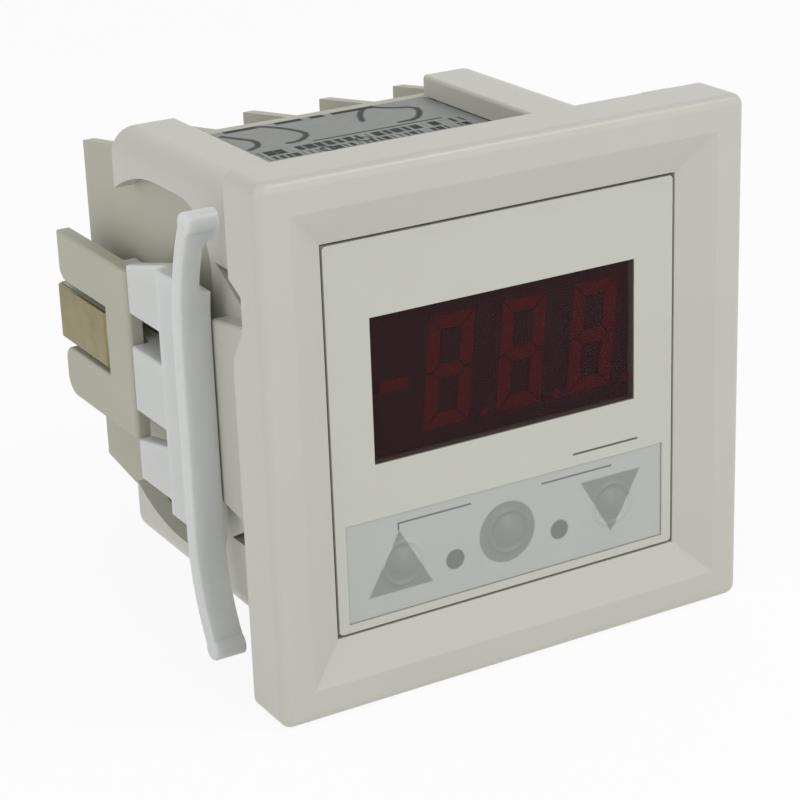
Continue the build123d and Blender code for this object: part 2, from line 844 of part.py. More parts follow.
def leaf_notch():
    """The rounded scoop in the leaf's inner edge below its upper end."""
    height = leaf_notch_high - leaf_notch_low
    place = Pos(leaf_inner, 0, (leaf_notch_low + leaf_notch_high) / 2)
    scoop = place * Box(2 * leaf_notch_depth, 4 * leaf_front, height)
    return fillet(scoop.edges().filter_by(Axis.Y), leaf_notch_depth * 0.8)


def clamp_wall_outline():
    """The clamp's side wall from the side, in Y and Z: three fingers, the top one flared."""
    near = leaf_front + leaf_thickness / 2
    wall = Polyline((near, root_top), (finger_front, root_top), (finger_back, finger_top),
                    (finger_back, finger_bottom), (near, finger_bottom), close=True)
    return make_face(wall) - upper_slot() - lower_slot()


def upper_slot():
    """The level slot under the top finger, with a round front end."""
    radius = (upper_slot_top - upper_slot_bottom) / 2
    middle_z = (upper_slot_top + upper_slot_bottom) / 2
    centre_y = finger_front + clamp_step + radius
    length = finger_back + 1 - centre_y
    straight = Pos(centre_y + length / 2, middle_z) * Rectangle(length, 2 * radius)
    return straight + Pos(centre_y, middle_z) * Circle(radius)


def lower_slot():
    """The slot under the middle finger, a wedge that opens to the back."""
    front, back = finger_front + clamp_step, finger_back + 1
    outline = Polyline((front, lower_slot_top), (back, lower_slot_top),
                       (back, lower_slot_top - lower_slot_mouth),
                       (front, lower_slot_top - lower_slot_neck), close=True)
    wedge = make_face(outline)
    return fillet(wedge.vertices().group_by(Axis.X)[0], lower_slot_corner)


def clamp_wall_plan():
    """The side wall seen from above: outside the pads at the leaf, then in beside the flank."""
    near = leaf_front + leaf_thickness / 2
    inward = leaf_inner - finger_inner
    points = ((leaf_inner, near), (root_outer, near), (root_outer, finger_front - clamp_step),
              (lug_outer, finger_front), (lug_outer, finger_back), (finger_inner, finger_back),
              (finger_inner, root_back + inward), (leaf_inner, root_back))
    return make_face(Polyline(*points, close=True))


def clamp_arms_plan():
    """The arms seen from above: thick beside the case, then thin where they pass the lug."""
    joined = finger_inner + fit_gap
    arm_outer = arm_inner + clamp_wall
    points = ((joined, finger_front), (joined, finger_back), (arm_outer, finger_back),
              (arm_outer, arm_back), (arm_inner, arm_back),
              (arm_inner, finger_front + joined - arm_inner))
    return make_face(Polyline(*points, close=True))


def panel_clamp():
    """A panel clamp on the right: a bowed leaf, a side wall of three fingers, and two arms."""
    leaf = side_plate(leaf_outline(), leaf_inner, leaf_inner + leaf_width)
    leaf = fillet(leaf.faces().sort_by(Axis.X)[-1].edges(), clamp_edge_round) - leaf_notch()
    height = root_top - finger_bottom
    plan = Pos(0, 0, finger_bottom) * extrude(clamp_wall_plan(), amount=height)
    wall = plan & side_plate(clamp_wall_outline(), arm_inner, root_outer)
    outer_edges = [edge for edge in wall.edges()
                   if edge.center().X > lug_outer - fit_gap and not on_step(edge)]
    wall = fillet(outer_edges, clamp_edge_round)
    for low, high in ((upper_slot_top, arm_top), (lower_slot_top, upper_slot_bottom)):
        wall += Pos(0, 0, low) * extrude(clamp_arms_plan(), amount=high - low)
    return leaf + wall


def on_step(edge):
    """True for the edges of the sloped step between the clamp's root and its fingers."""
    front, back = finger_front - clamp_step - fit_gap, finger_front + fit_gap
    return front < edge.center().Y < back


def wiring_label():
    """The thin label on top of the case, between the adapter's rails."""
    top = case_size / 2
    return block((-label_width / 2, label_width / 2), (label_front, label_back),
                 (top, top + label_thickness))


def write(name, solids):
    """One STEP file for a node, from one solid or a list of separate solids."""
    shape = Compound(children=list(solids)) if isinstance(solids, list) else solids
    shape.label = name
    export_step(shape, f"parts/{name}.step")


def main():
    os.makedirs("parts", exist_ok=True)
    write("panel_adapter", panel_adapter())
    write("display_case", display_case())
    write("face_sheet", face_sheet())
    write("key_film", key_film())
    write("display_window", display_window())
    write("display_module", display_module())
    write("display_segments", display_segments())
    write("display_board", display_board())
    write("main_board", main_board())
    write("terminal_board", terminal_board())
    write("front_header", board_header(display_board_y + board_thickness))
    write("rear_header", board_header(rear_board_y - header_depth))
    write("controller_chip", controller_chip())
    write("smoothing_capacitor", smoothing_capacitor())
    for name in key_x:
        write(f"key_{name}", key_plunger(name))
        write(f"switch_stem_{name}", switch_stem(name))
        write(f"tact_switch_{name}", tact_switch(name))
    for word, side in (("left", -1), ("right", 1)):
        write(f"output_lamp_{word}", lamp(side))
        write(f"output_transistor_{word}", output_transistor(side))
    write("terminal_block", terminal_block())
    write("terminal_plates", terminal_plates())
    write("terminal_washers", terminal_washers())
    write("terminal_screws", terminal_screws())
    write("panel_clamp_left", mirrored(panel_clamp()))
    write("panel_clamp_right", mirror(panel_clamp(), about=Plane.XY))
    write("side_clip_right", side_clip())
    write("side_clip_left", mirrored(side_clip()))
    write("wiring_label", wiring_label())


main()
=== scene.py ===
# %% [markdown]
# # A digital flow switch, dressed for the camera
#
# The solids of this panel instrument come from CAD and keep their shape here. This lesson
# gives each of them a finish, builds the pieces that look better as worked-out surfaces, and
# sets up the light and the camera. All lengths in Blender are metres, so sizes are written
# in millimetres and multiplied by one named value.

import math

import bpy
import numpy as np
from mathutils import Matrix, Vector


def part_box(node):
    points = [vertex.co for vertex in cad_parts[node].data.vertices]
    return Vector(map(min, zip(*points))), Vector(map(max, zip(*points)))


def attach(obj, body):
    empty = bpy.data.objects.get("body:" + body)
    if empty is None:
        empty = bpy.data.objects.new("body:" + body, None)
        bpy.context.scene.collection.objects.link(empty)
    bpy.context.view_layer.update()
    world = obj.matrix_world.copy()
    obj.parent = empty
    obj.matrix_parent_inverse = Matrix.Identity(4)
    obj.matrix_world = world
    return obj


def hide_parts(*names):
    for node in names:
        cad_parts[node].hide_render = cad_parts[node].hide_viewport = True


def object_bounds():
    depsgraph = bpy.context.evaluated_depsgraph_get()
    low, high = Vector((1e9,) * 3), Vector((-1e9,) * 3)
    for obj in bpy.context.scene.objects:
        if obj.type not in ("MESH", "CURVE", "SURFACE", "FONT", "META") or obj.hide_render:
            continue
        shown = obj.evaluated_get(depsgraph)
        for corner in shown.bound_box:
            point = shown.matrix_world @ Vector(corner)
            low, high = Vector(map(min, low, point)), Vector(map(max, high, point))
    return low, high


MM = 0.001
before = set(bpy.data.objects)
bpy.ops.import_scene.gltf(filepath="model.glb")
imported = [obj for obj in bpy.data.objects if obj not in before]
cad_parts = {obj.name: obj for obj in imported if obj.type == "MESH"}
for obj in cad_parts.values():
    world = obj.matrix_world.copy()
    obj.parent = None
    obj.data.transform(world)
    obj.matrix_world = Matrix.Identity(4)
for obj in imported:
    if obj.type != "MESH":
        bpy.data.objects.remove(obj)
cad_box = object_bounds()
print("CAD nodes:", len(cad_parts), "box:", cad_box)

# %% [markdown]
# ## The camera
#
# The photograph was taken with a longish lens from the front left and a little above. A camera
# is placed by where it stands and how it is turned. These values come from matching the corners
# of the frame and of the window with the photograph.

# %% Camera
CAMERA_PLACE = (-85.90, -138.16, 62.48)
CAMERA_TURN = (68.814, 1.938, -30.457)
CAMERA_LENS = 107.54

camera_data = bpy.data.cameras.new("camera")
camera_data.sensor_width = 36.0
camera_data.lens = CAMERA_LENS
camera_data.clip_start = 0.01
camera = bpy.data.objects.new("camera", camera_data)
camera.location = [value * MM for value in CAMERA_PLACE]
camera.rotation_euler = [math.radians(value) for value in CAMERA_TURN]
bpy.context.scene.collection.objects.link(camera)
bpy.context.scene.camera = camera
print("camera at", tuple(camera.location))

# %% [markdown]
# ## Shader maths as plain expressions
#
# A material is a tree of nodes. Wiring each node by hand hides what the tree works out, so one
# small class stands for the output of a node. Its operators add Math nodes, and its `node`
# method adds any other kind.

# %% A class for one output of a node tree
def plug(tree, socket, value):
    """Links a signal to a socket, or sets a plain value on it."""
    if isinstance(value, Signal):
        tree.links.new(value.source, socket)
    else:
        socket.default_value = value


class Signal:
    """The output of one node, which can be added, multiplied and compared."""

    def __init__(self, tree, source):
        self.tree = tree
        self.source = source

    def node(self, kind, settings, inputs, output=0):
        """Adds a node: first its settings, then the values or links of its sockets."""
        made = self.tree.nodes.new(kind)
        for name, value in settings.items():
            setattr(made, name, value)
        for name, value in inputs.items():
            plug(self.tree, made.inputs[name], value)
        return Signal(self.tree, made.outputs[output])

    def maths(self, operation, first, second=0.0):
        """One Math node on two values."""
        return self.node("ShaderNodeMath", {"operation": operation}, {0: first, 1: second})

    def __add__(self, other):
        return self.maths("ADD", self, other)

    def __sub__(self, other):
        return self.maths("SUBTRACT", self, other)

    def __rsub__(self, other):
        return self.maths("SUBTRACT", other, self)

    def __mul__(self, other):
        return self.maths("MULTIPLY", self, other)

    def __truediv__(self, other):
        return self.maths("DIVIDE", self, other)

    def __abs__(self):
        return self.maths("ABSOLUTE", self)

    __radd__ = __add__
    __rmul__ = __mul__

    def least(self, other):
        return self.maths("MINIMUM", self, other)

    def most(self, other):
        return self.maths("MAXIMUM", self, other)

    def root(self):
        return self.maths("SQRT", self)

    def clamped(self):
        """Held between 0 and 1."""
        return self.most(0.0).least(1.0)


print("shader maths ready")

# %% [markdown]
# ## Colours, places and masks
#
# Colours are read off the photograph as screen values from 0 to 255, and Blender wants linear
# light, so one helper converts them. A printed mark is a signed distance: positive inside the
# mark, negative outside. Divided by the softness of its edge and held between 0 and 1, it
# becomes a mask.

# %% Helpers for materials
EDGE_SOFTNESS = 0.06


def tone(red, green, blue):
    """Screen values from 0 to 255 as linear light."""
    screen = np.array([red, green, blue]) / 255.0
    linear = np.where(screen <= 0.04045, screen / 12.92, ((screen + 0.055) / 1.055) ** 2.4)
    return (*[float(value) for value in linear], 1.0)


def blank(name, **sockets):
    """A new material with these values on its shader, and the place on the piece in mm."""
    material = bpy.data.materials.new(name)
    material.use_nodes = True
    tree = material.node_tree
    shader = tree.nodes["Principled BSDF"]
    for socket, value in sockets.items():
        shader.inputs[socket.replace("_", " ")].default_value = value
    place = Signal(tree, tree.nodes.new("ShaderNodeTexCoord").outputs["Object"])
    place = place.node("ShaderNodeVectorMath", {"operation": "SCALE"}, {0: place, "Scale": 1 / MM})
    return material, place


def axes(place):
    """The x, y and z of a place."""
    split = place.node("ShaderNodeSeparateXYZ", {}, {"Vector": place})
    outputs = split.source.node.outputs
    return [Signal(place.tree, outputs[name]) for name in "XYZ"]


def mask(distance, softness=EDGE_SOFTNESS):
    """1 inside a mark and 0 outside it, with a soft edge."""
    return (distance / softness + 0.5).clamped()


def blend(amount, first, second):
    """A colour between two colours."""
    return amount.node("ShaderNodeMix", {"data_type": "RGBA"}, {0: amount, 6: first, 7: second}, 2)


def joined(marks):
    """Several marks as one distance: the greatest of theirs."""
    whole = marks[0]
    for mark in marks[1:]:
        whole = whole.most(mark)
    return whole


def noise(place, scale, detail=2.0):
    """Cloudy noise around one half, with the given number of clouds to a millimetre."""
    return place.node("ShaderNodeTexNoise", {}, {"Vector": place, "Scale": scale, "Detail": detail})


def bumped(height, depth, strength=1.0):
    """The normal of a surface whose height in mm runs over the given depth."""
    sockets = {"Height": height, "Distance": depth * MM, "Strength": strength}
    return height.node("ShaderNodeBump", {}, sockets)


def dress(material, **links):
    """Links what varies over the surface to the material's shader."""
    tree = material.node_tree
    shader = tree.nodes["Principled BSDF"]
    for socket, value in links.items():
        plug(tree, shader.inputs[socket.replace("_", " ")], value)
    return material


def give(material, *nodes):
    """Puts a material on CAD nodes."""
    for name in nodes:
        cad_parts[name].material_slots[0].material = material


print("a mid grey in linear light:", tone(128, 128, 128)[0])

# %% [markdown]
# ## Moulded plastic
#
# Light grey instrument plastic comes out of a spark-eroded mould: it is even in colour, with a
# fine matt grain. Two noises do it. A large faint one keeps the colour from being flat, and a
# fine one gives the grain a bump and makes the gloss uneven. Each roughness in this lesson is
# written as a noise times its spread, plus its lowest value.

# %% Moulded plastic
GLOSS_SPREAD = 0.12


def moulded(name, colour, shade, roughness, grain=0.002, **sockets):
    """Matt plastic between two near colours, with a fine grain of this height in mm."""
    material, place = blank(name, **sockets)
    clouds = noise(place, 0.16, 3.0)
    speckle = noise(place, 5.0, 2.0)
    return dress(
        material,
        Base_Color=blend(clouds, colour, shade),
        Roughness=speckle * GLOSS_SPREAD + (roughness - GLOSS_SPREAD / 2),
        Normal=bumped(speckle, grain),
    )


adapter_plastic = moulded("adapter_plastic", tone(195, 194, 185), tone(190, 189, 179), 0.3,
                          0.0012, Specular_IOR_Level=0.4)
case_plastic = moulded("case_plastic", tone(178, 178, 163), tone(172, 172, 157), 0.5)
block_plastic = moulded("block_plastic", tone(178, 177, 161), tone(171, 170, 154), 0.5)
give(adapter_plastic, "panel_adapter")
give(case_plastic, "display_case")
give(block_plastic, "terminal_block")
print("moulded finishes:", adapter_plastic.name, case_plastic.name, block_plastic.name)

# %% [markdown]
# ## The clamps
#
# The two side clamps are natural nylon: whiter than the case, and milky, because light goes a
# little way in before it comes out. Subsurface scattering is that effect.

# %% Natural nylon
NYLON_SCATTER = 2.5

nylon = moulded(
    "nylon", tone(206, 208, 206), tone(200, 202, 201), 0.34, 0.003, Subsurface_Weight=0.7,
    Subsurface_Scale=NYLON_SCATTER * MM, Subsurface_Radius=(1.0, 1.0, 1.15),
)
give(nylon, "panel_clamp_left", "panel_clamp_right")
print("nylon scatters over", NYLON_SCATTER, "mm")

# %% [markdown]
# ## The face sheet
#
# The front is a printed polycarbonate sheet. It is smoother than the moulding round it. The
# unit's name is left bare, with the thin rule under it.

# %% Printed face sheet
RULE_FROM, RULE_TO = 5.6, 11.4
RULE_Z, RULE_THICKNESS = -5.31, 0.16


def rectangle(x, z, low_x, high_x, low_z, high_z):
    """Distance to the edge of an upright rectangle, positive inside."""
    across = high_x / 2 - low_x / 2 - abs(x - (low_x + high_x) / 2)
    up = high_z / 2 - low_z / 2 - abs(z - (low_z + high_z) / 2)
    return across.least(up)


PRINT_DARK = tone(78, 78, 72)
face_print, place = blank("face_print", Coat_Weight=0.1, Coat_Roughness=0.3)
x, _, z = axes(place)
half_rule = RULE_THICKNESS / 2
rule = rectangle(x, z, RULE_FROM, RULE_TO, RULE_Z - half_rule, RULE_Z + half_rule)
paper = blend(noise(place, 0.2, 3.0), tone(195, 196, 186), tone(190, 190, 180))
peel = noise(place, 2.2, 2.0)
dress(face_print, Base_Color=blend(mask(rule), paper, PRINT_DARK),
      Roughness=peel * 0.1 + 0.33, Normal=bumped(peel, 0.003))
give(face_print, "face_sheet")
print("rule under the unit:", RULE_TO - RULE_FROM, "mm long")

# %% [markdown]
# ## The key film
#
# The keys are pressed through one sheet of film, embossed with a dome over each key. In CAD it
# is a plain sheet with three caps. Here it is a height field: a fine grid of points across the
# film, each moved forwards by the sum of the domes and the rings round them. A second grid
# behind, joined at the rim, makes it a closed sheet.

# %% Grids, shells and pieces
def grid_faces(rows, columns):
    """The four-cornered faces between the points of a grid, by index arithmetic."""
    corner = np.arange(rows * columns).reshape(rows, columns)
    first, second = corner[:-1, :-1], corner[:-1, 1:]
    third, fourth = corner[1:, 1:], corner[1:, :-1]
    return np.stack([first, second, third, fourth], axis=-1).reshape(-1, 4)


def rim_faces(rows, columns):
    """The faces that join the edge of a grid to the edge of the same grid behind it."""
    corner = np.arange(rows * columns).reshape(rows, columns)
    edge = np.concatenate([corner[0, :-1], corner[:-1, -1], corner[-1, :0:-1], corner[:0:-1, 0]])
    after = np.roll(edge, -1)
    behind = rows * columns
    return np.stack([after, edge, edge + behind, after + behind], axis=-1)


def piece(name, points, faces, material, smooth=True):
    """A new object with its place in its mesh. Points are in mm."""
    mesh = bpy.data.meshes.new(name)
    mesh.from_pydata((points * MM).tolist(), [], [list(face) for face in faces])
    mesh.polygons.foreach_set("use_smooth", np.full(len(mesh.polygons), smooth))
    mesh.materials.append(material)
    mesh.validate()
    made = bpy.data.objects.new(name, mesh)
    bpy.context.scene.collection.objects.link(made)
    return made


def shell(name, front, back, material):
    """A closed sheet between two grids of points of the same size."""
    rows, columns = front.shape[:2]
    faces = grid_faces(rows, columns)
    behind = faces[:, ::-1] + rows * columns
    points = np.concatenate([front.reshape(-1, 3), back.reshape(-1, 3)])
    every = np.concatenate([faces, behind, rim_faces(rows, columns)])
    return piece(name, points, every, material)


def outward(made):
    """Turns a closed piece's faces to point outwards."""
    bpy.context.view_layer.objects.active = made
    bpy.ops.object.select_all(action="DESELECT")
    made.select_set(True)
    bpy.ops.object.mode_set(mode="EDIT")
    bpy.ops.mesh.select_all(action="SELECT")
    bpy.ops.mesh.remove_doubles(threshold=0.001 * MM)
    bpy.ops.mesh.normals_make_consistent(inside=False)
    bpy.ops.object.mode_set(mode="OBJECT")
    return made


print("faces of a 3 by 4 grid:", len(grid_faces(3, 4)))

# %% Height of the embossed film
FILM_LOW, FILM_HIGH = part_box("key_film")
FILM_X = (FILM_LOW[0] / MM, FILM_HIGH[0] / MM)
FILM_Z = (FILM_LOW[2] / MM, FILM_HIGH[2] / MM)
FILM_BACK = FILM_HIGH[1] / MM
FILM_SHEET = 0.15
FILM_FRONT = FILM_BACK - FILM_SHEET
DOME_RADIUS, DOME_HEIGHT = 1.35, 0.34
RING_RADIUS, RING_HEIGHT, RING_WIDTH = 1.62, 0.13, 0.15
KEY_PLACES = {"up": (-9.05, -10.2), "set": (-0.1, -10.0), "down": (9.1, -10.1)}
FILM_STEP = 0.07


def key_relief(x, z, centre):
    """A dome that meets the film in a soft foot, inside a low ring.

    With r the distance from the key's centre, the dome is (1 - (r/R)^2)^1.5 times its height
    inside the radius R. The ring is a bell curve of r round its own radius.
    """
    r = np.hypot(x - centre[0], z - centre[1])
    inside = np.clip(1 - (r / DOME_RADIUS) ** 2, 0, 1)
    ring = np.exp(-(((r - RING_RADIUS) / RING_WIDTH) ** 2))
    return DOME_HEIGHT * inside**1.5 + RING_HEIGHT * ring


columns = int((FILM_X[1] - FILM_X[0]) / FILM_STEP)
rows = int((FILM_Z[1] - FILM_Z[0]) / FILM_STEP)
film_x, film_z = np.meshgrid(np.linspace(*FILM_X, columns), np.linspace(*FILM_Z, rows))
relief = sum(key_relief(film_x, film_z, centre) for centre in KEY_PLACES.values())
front = np.stack([film_x, FILM_FRONT - relief, film_z], axis=-1)
back = np.stack([film_x, np.full_like(film_x, FILM_BACK), film_z], axis=-1)
print("film grid", front.shape, "highest", round(float(relief.max()), 3), "mm")

# %% [markdown]
# The film's print is two triangles, a disc, two lamp dots and a bracket line over the keys,
# broken in the middle, with its left end turned down. Each is a distance worked out from x and
# z. A triangle is the least of three distances, one to each side.

# %% Print of the key film
FILM_GREY = tone(181, 183, 179)
FILM_SHADE = tone(175, 177, 174)
MARK_GREY = tone(138, 140, 138)
LAMP_GREY = tone(118, 121, 119)
LINE_GREY = tone(104, 106, 103)
UP_MARK = ((-9.3, -9.95), 5.35, 4.7)
DOWN_MARK = ((9.02, -10.1), 5.4, 4.6)
SET_MARK = ((-0.2, -10.05), 2.4)
LAMP_CENTRES, LAMP_RADIUS = ((-4.7, -11.08), (4.38, -11.05)), 0.78
BRACKET_LEFT = (-9.3, -3.25, -7.12, -6.98)
BRACKET_RIGHT = (2.85, 9.1, -7.08, -6.94)
BRACKET_DROP = (-9.42, -9.28, -7.6, -6.98)
PRINT_SOFTNESS = 0.12


def disc(x, z, centre, radius):
    """Distance to the edge of a disc."""
    dx, dz = x - centre[0], z - centre[1]
    return radius - (dx * dx + dz * dz).root()


def triangle(x, z, centre, width, height, up):
    """Distance to the nearest side of a triangle that points up or down."""
    dx = abs(x - centre[0])
    dz = (z - centre[1]) * up
    slant = math.hypot(height, width / 2)
    sides = ((height / 2 - dz) * (width / 2) - dx * height) / slant
    return sides.least(dz + height / 2)


film_plastic, place = blank("film_plastic", Coat_Weight=0.2, Coat_Roughness=0.25)
x, _, z = axes(place)
key_marks = joined([triangle(x, z, *UP_MARK, 1), triangle(x, z, *DOWN_MARK, -1),
                    disc(x, z, *SET_MARK)])
lamp_dots = joined([disc(x, z, centre, LAMP_RADIUS) for centre in LAMP_CENTRES])
bracket = joined([rectangle(x, z, *line) for line in (BRACKET_LEFT, BRACKET_RIGHT, BRACKET_DROP)])
colour = blend(noise(place, 0.3, 3.0), FILM_GREY, FILM_SHADE)
colour = blend(mask(key_marks, PRINT_SOFTNESS), colour, MARK_GREY)
colour = blend(mask(lamp_dots, PRINT_SOFTNESS), colour, LAMP_GREY)
colour = blend(mask(bracket), colour, LINE_GREY)
peel = noise(place, 3.0, 2.0)
dress(film_plastic, Base_Color=colour, Roughness=peel * 0.12 + 0.3, Normal=bumped(peel, 0.003))
film = shell("key_film_embossed", front, back, film_plastic)
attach(film, "unit")
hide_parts("key_film")
print("film faces:", len(film.data.polygons))

# %% [markdown]
# ## The display
#
# Behind a dark red filter stand the unlit bars of three digits. The filter is see-through, so
# its alpha is low, and the bars behind it are a strong red that comes out dim. The display's
# body is nearly black.

# %% Filter, bars and display body
FILTER_ALPHA = 0.42

window_filter, place = blank("window_filter", Alpha=FILTER_ALPHA, Specular_IOR_Level=0.22)
smear = noise(place, 0.25, 3.0)
dress(window_filter, Base_Color=blend(smear, tone(60, 34, 36), tone(54, 31, 33)),
      Roughness=smear * 0.12 + 0.35)
light_guide, place = blank("light_guide", Specular_IOR_Level=0.15)
glow = noise(place, 0.9, 2.0)
dress(light_guide, Base_Color=blend(glow, tone(146, 22, 34), tone(118, 17, 28)),
      Roughness=glow * 0.2 + 0.45)
display_black, place = blank("display_black", Specular_IOR_Level=0.2)
dust = noise(place, 0.5, 3.0)
dress(display_black, Base_Color=blend(dust, tone(50, 32, 36), tone(40, 28, 30)),
      Roughness=dust * 0.2 + 0.5)
give(display_black, "display_module")
print("light left there and back:", round((1 - FILTER_ALPHA) ** 2, 2))

# %% [markdown]
# ## The bars of the digits
#
# Each digit is seven bars of red resin, set in the display's black face. A bar is a flat outline
# given a thickness. The bars of one digit are drawn once, upright and centred, then leant to the
# right and set side by side. The point beside each digit is a many-sided disc. The filter's
# pane stops just short of the display's face, because two faces in one plane would flicker.

# %% Outlines of one digit
DIGIT_HALF_WIDTH, DIGIT_HALF_HEIGHT = 1.9, 4.15
BAR_WIDTH, BAR_GAP = 1.05, 0.08
DIGIT_CENTRES = (-4.47, 1.66, 7.79)
DIGIT_Z = 3.42
DIGIT_LEAN = math.tan(math.radians(5.1))
POINT_PLACE, POINT_RADIUS, POINT_CORNERS = (3.25, -3.85), 0.32, 24
MINUS_CENTRE, MINUS_HALF = (-8.95, 3.25), (1.15, 0.43)


def digit_bars():
    """The seven bars of an upright digit round its centre, each as its corners in x and z.

    One level bar, one upright bar and the middle bar are drawn, with slanted ends that leave
    an even gap. The others are mirror images of the first two.
    """
    wide, high, bar, gap = DIGIT_HALF_WIDTH, DIGIT_HALF_HEIGHT, BAR_WIDTH, BAR_GAP
    level = np.array([(gap - wide, high), (wide - gap, high),
                      (wide - bar - gap, high - bar), (bar + gap - wide, high - bar)])
    upright = np.array([(-wide, high - gap), (bar - wide, high - bar - gap),
                        (bar - wide, bar / 2 + gap), (bar / 2 - wide, gap), (-wide, 2 * gap)])
    tip, half = wide - bar / 2 - gap, bar / 2
    middle = np.array([(-tip, 0), (half - tip, half), (tip - half, half),
                       (tip, 0), (tip - half, -half), (half - tip, -half)])
    flips = [(1, 1), (-1, 1), (1, -1), (-1, -1)]
    return [level, level * (1, -1), middle] + [upright * flip for flip in flips]


def leant(corners, centre_x):
    """Corners moved to a digit's centre, and to the right by the lean times their height."""
    x = centre_x + corners[:, 0] + corners[:, 1] * DIGIT_LEAN
    return np.column_stack([x, DIGIT_Z + corners[:, 1]])


turn = np.linspace(0, 2 * math.pi, POINT_CORNERS, endpoint=False)
point = np.column_stack([np.cos(turn), np.sin(turn)]) * POINT_RADIUS + POINT_PLACE
minus = np.array([(-1, -1), (1, -1), (1, 1), (-1, 1)]) * MINUS_HALF + MINUS_CENTRE
outlines = [minus]
for centre_x in DIGIT_CENTRES:
    outlines += [leant(corners, centre_x) for corners in digit_bars() + [point]]
print("bars and points:", len(outlines))

# %% Bars and filter pane as thin plates
BAR_STAND = 0.02
BAR_DEPTH = 0.45
PANE_GAP = 0.05


def plate(outline, front_y, back_y, first):
    """A flat outline given a thickness along Y. Its faces count their points from `first`."""
    count = len(outline)
    ring = np.arange(count) + first
    after = np.roll(ring, -1)
    layers = [np.column_stack([outline[:, 0], np.full(count, y), outline[:, 1]])
              for y in (front_y, back_y)]
    sides = np.column_stack([ring, after, after + count, ring + count]).tolist()
    return np.concatenate(layers), [ring.tolist(), (ring[::-1] + count).tolist()] + sides


bars_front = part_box("display_segments")[0][1] / MM - BAR_STAND
points, faces = np.empty((0, 3)), []
for outline in outlines:
    new_points, new_faces = plate(outline, bars_front, bars_front + BAR_DEPTH, len(points))
    points = np.concatenate([points, new_points])
    faces = faces + new_faces
bars = outward(piece("digit_bars", points, faces, light_guide, smooth=False))
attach(bars, "unit")
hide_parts("display_segments")
pane_low, pane_high = [np.array(corner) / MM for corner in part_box("display_window")]
pane_outline = np.array([(pane_low[0], pane_low[2]), (pane_high[0], pane_low[2]),
                         (pane_high[0], pane_high[2]), (pane_low[0], pane_high[2])])
points, faces = plate(pane_outline, pane_low[1], pane_high[1] - PANE_GAP, 0)
pane = outward(piece("filter_pane", points, faces, window_filter, smooth=False))
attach(pane, "unit")
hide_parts("display_window")
print("bars:", len(bars.data.polygons), "faces; pane:", len(pane.data.polygons))

# %% [markdown]
# ## The wiring label
#
# A silver label on the case's top shows how the switch is wired. Its lettering is left out: it
# has open wiring curves, rules, rings and rows of plain bars in the same places. A curve is a
# line through a few points, and its distance is the least of the distances to its straight runs.

# %% Wiring label
CURVES = (
    ((-5.0, 26.2), (-3.6, 25.1), (-2.5, 23.1), (-2.2, 21.3), (-3.7, 19.9), (-4.7, 19.9)),
    ((-8.0, 24.7), (-7.2, 23.3), (-6.5, 22.0), (-6.9, 20.5), (-8.0, 19.9)),
    ((3.1, 22.2), (4.0, 24.3), (5.5, 26.0), (6.9, 24.4), (8.7, 23.5), (8.2, 21.8), (6.8, 20.1),
     (5.3, 20.1)),
)
DASHES = ((-7.4, -4.6), (-2.9, -0.5), (0.2, 1.5), (2.2, 6.1))
CURVE_WIDTH = 0.5
DASH_LOW, DASH_HIGH = 25.3, 26.0
UPPER_RULE = (-2.9, 8.6, 19.15, 19.4)
LOWER_RULE = (-9.4, 9.4, 12.2, 12.5)
BAR_START, BAR_END = -8.7, 9.8
UNEVEN_ROWS = (
    (17.45, 18.7, 0.85, 11.0), (16.15, 17.1, 0.6, 47.0),
    (14.9, 15.9, 0.75, 83.0), (13.4, 14.2, 0.6, 129.0),
)
EVEN_ROW = (4.0, 11.0, 3.1, 0.12, -9.0, 9.2)
RING_CENTRES, RING_MIDDLE, RING_HALF_LINE = ((0.5, 17.4), (-3.0, 16.6)), 0.6, 0.12
CURVE_SOFTNESS, MARK_SOFTNESS = 0.2, 0.16


def stroke(x, y, points, width):
    """Distance to a line through points: half its width less the way to its nearest run.

    The nearest place on a run is its start plus a share of it, held between 0 and 1.
    """
    nearest = None
    for (x0, y0), (x1, y1) in zip(points, points[1:]):
        run_x, run_y = x1 - x0, y1 - y0
        length_squared = run_x**2 + run_y**2
        share = (((x - x0) * run_x + (y - y0) * run_y) / length_squared).clamped()
        dx, dy = x - x0 - share * run_x, y - y0 - share * run_y
        away = dx * dx + dy * dy
        nearest = away if nearest is None else nearest.least(away)
    return width / 2 - nearest.root()


def rounded(points):
    """The same line with its corners cut: each run keeps its middle half."""
    line = np.array(points)
    near, far = line[:-1] * 0.75 + line[1:] * 0.25, line[:-1] * 0.25 + line[1:] * 0.75
    cut = np.stack([near, far], axis=1).reshape(-1, 2)
    return np.concatenate([line[:1], cut, line[-1:]]).tolist()


def repeated_bars(x, y, low_y, high_y, pitch, fill, start, end):
    """A row of short upright bars: the place along x, folded by the pitch."""
    folded = x.maths("PINGPONG", x, pitch / 2)
    bars = fill * pitch / 2 - folded
    return bars.least(rectangle(x, y, start, end, low_y, high_y))


def uneven_bars(x, y, low_y, high_y, pitch, row):
    """A row of bars of uneven width: each cell along x is filled by its own random share."""
    along = x / pitch
    cell = along.maths("FLOOR", along)
    filled = cell.node("ShaderNodeTexWhiteNoise", {"noise_dimensions": "1D"}, {"W": cell + row})
    bars = (filled * 0.6 - abs(along - cell - 0.5)) * pitch
    return bars.least(rectangle(x, y, BAR_START, BAR_END, low_y, high_y))


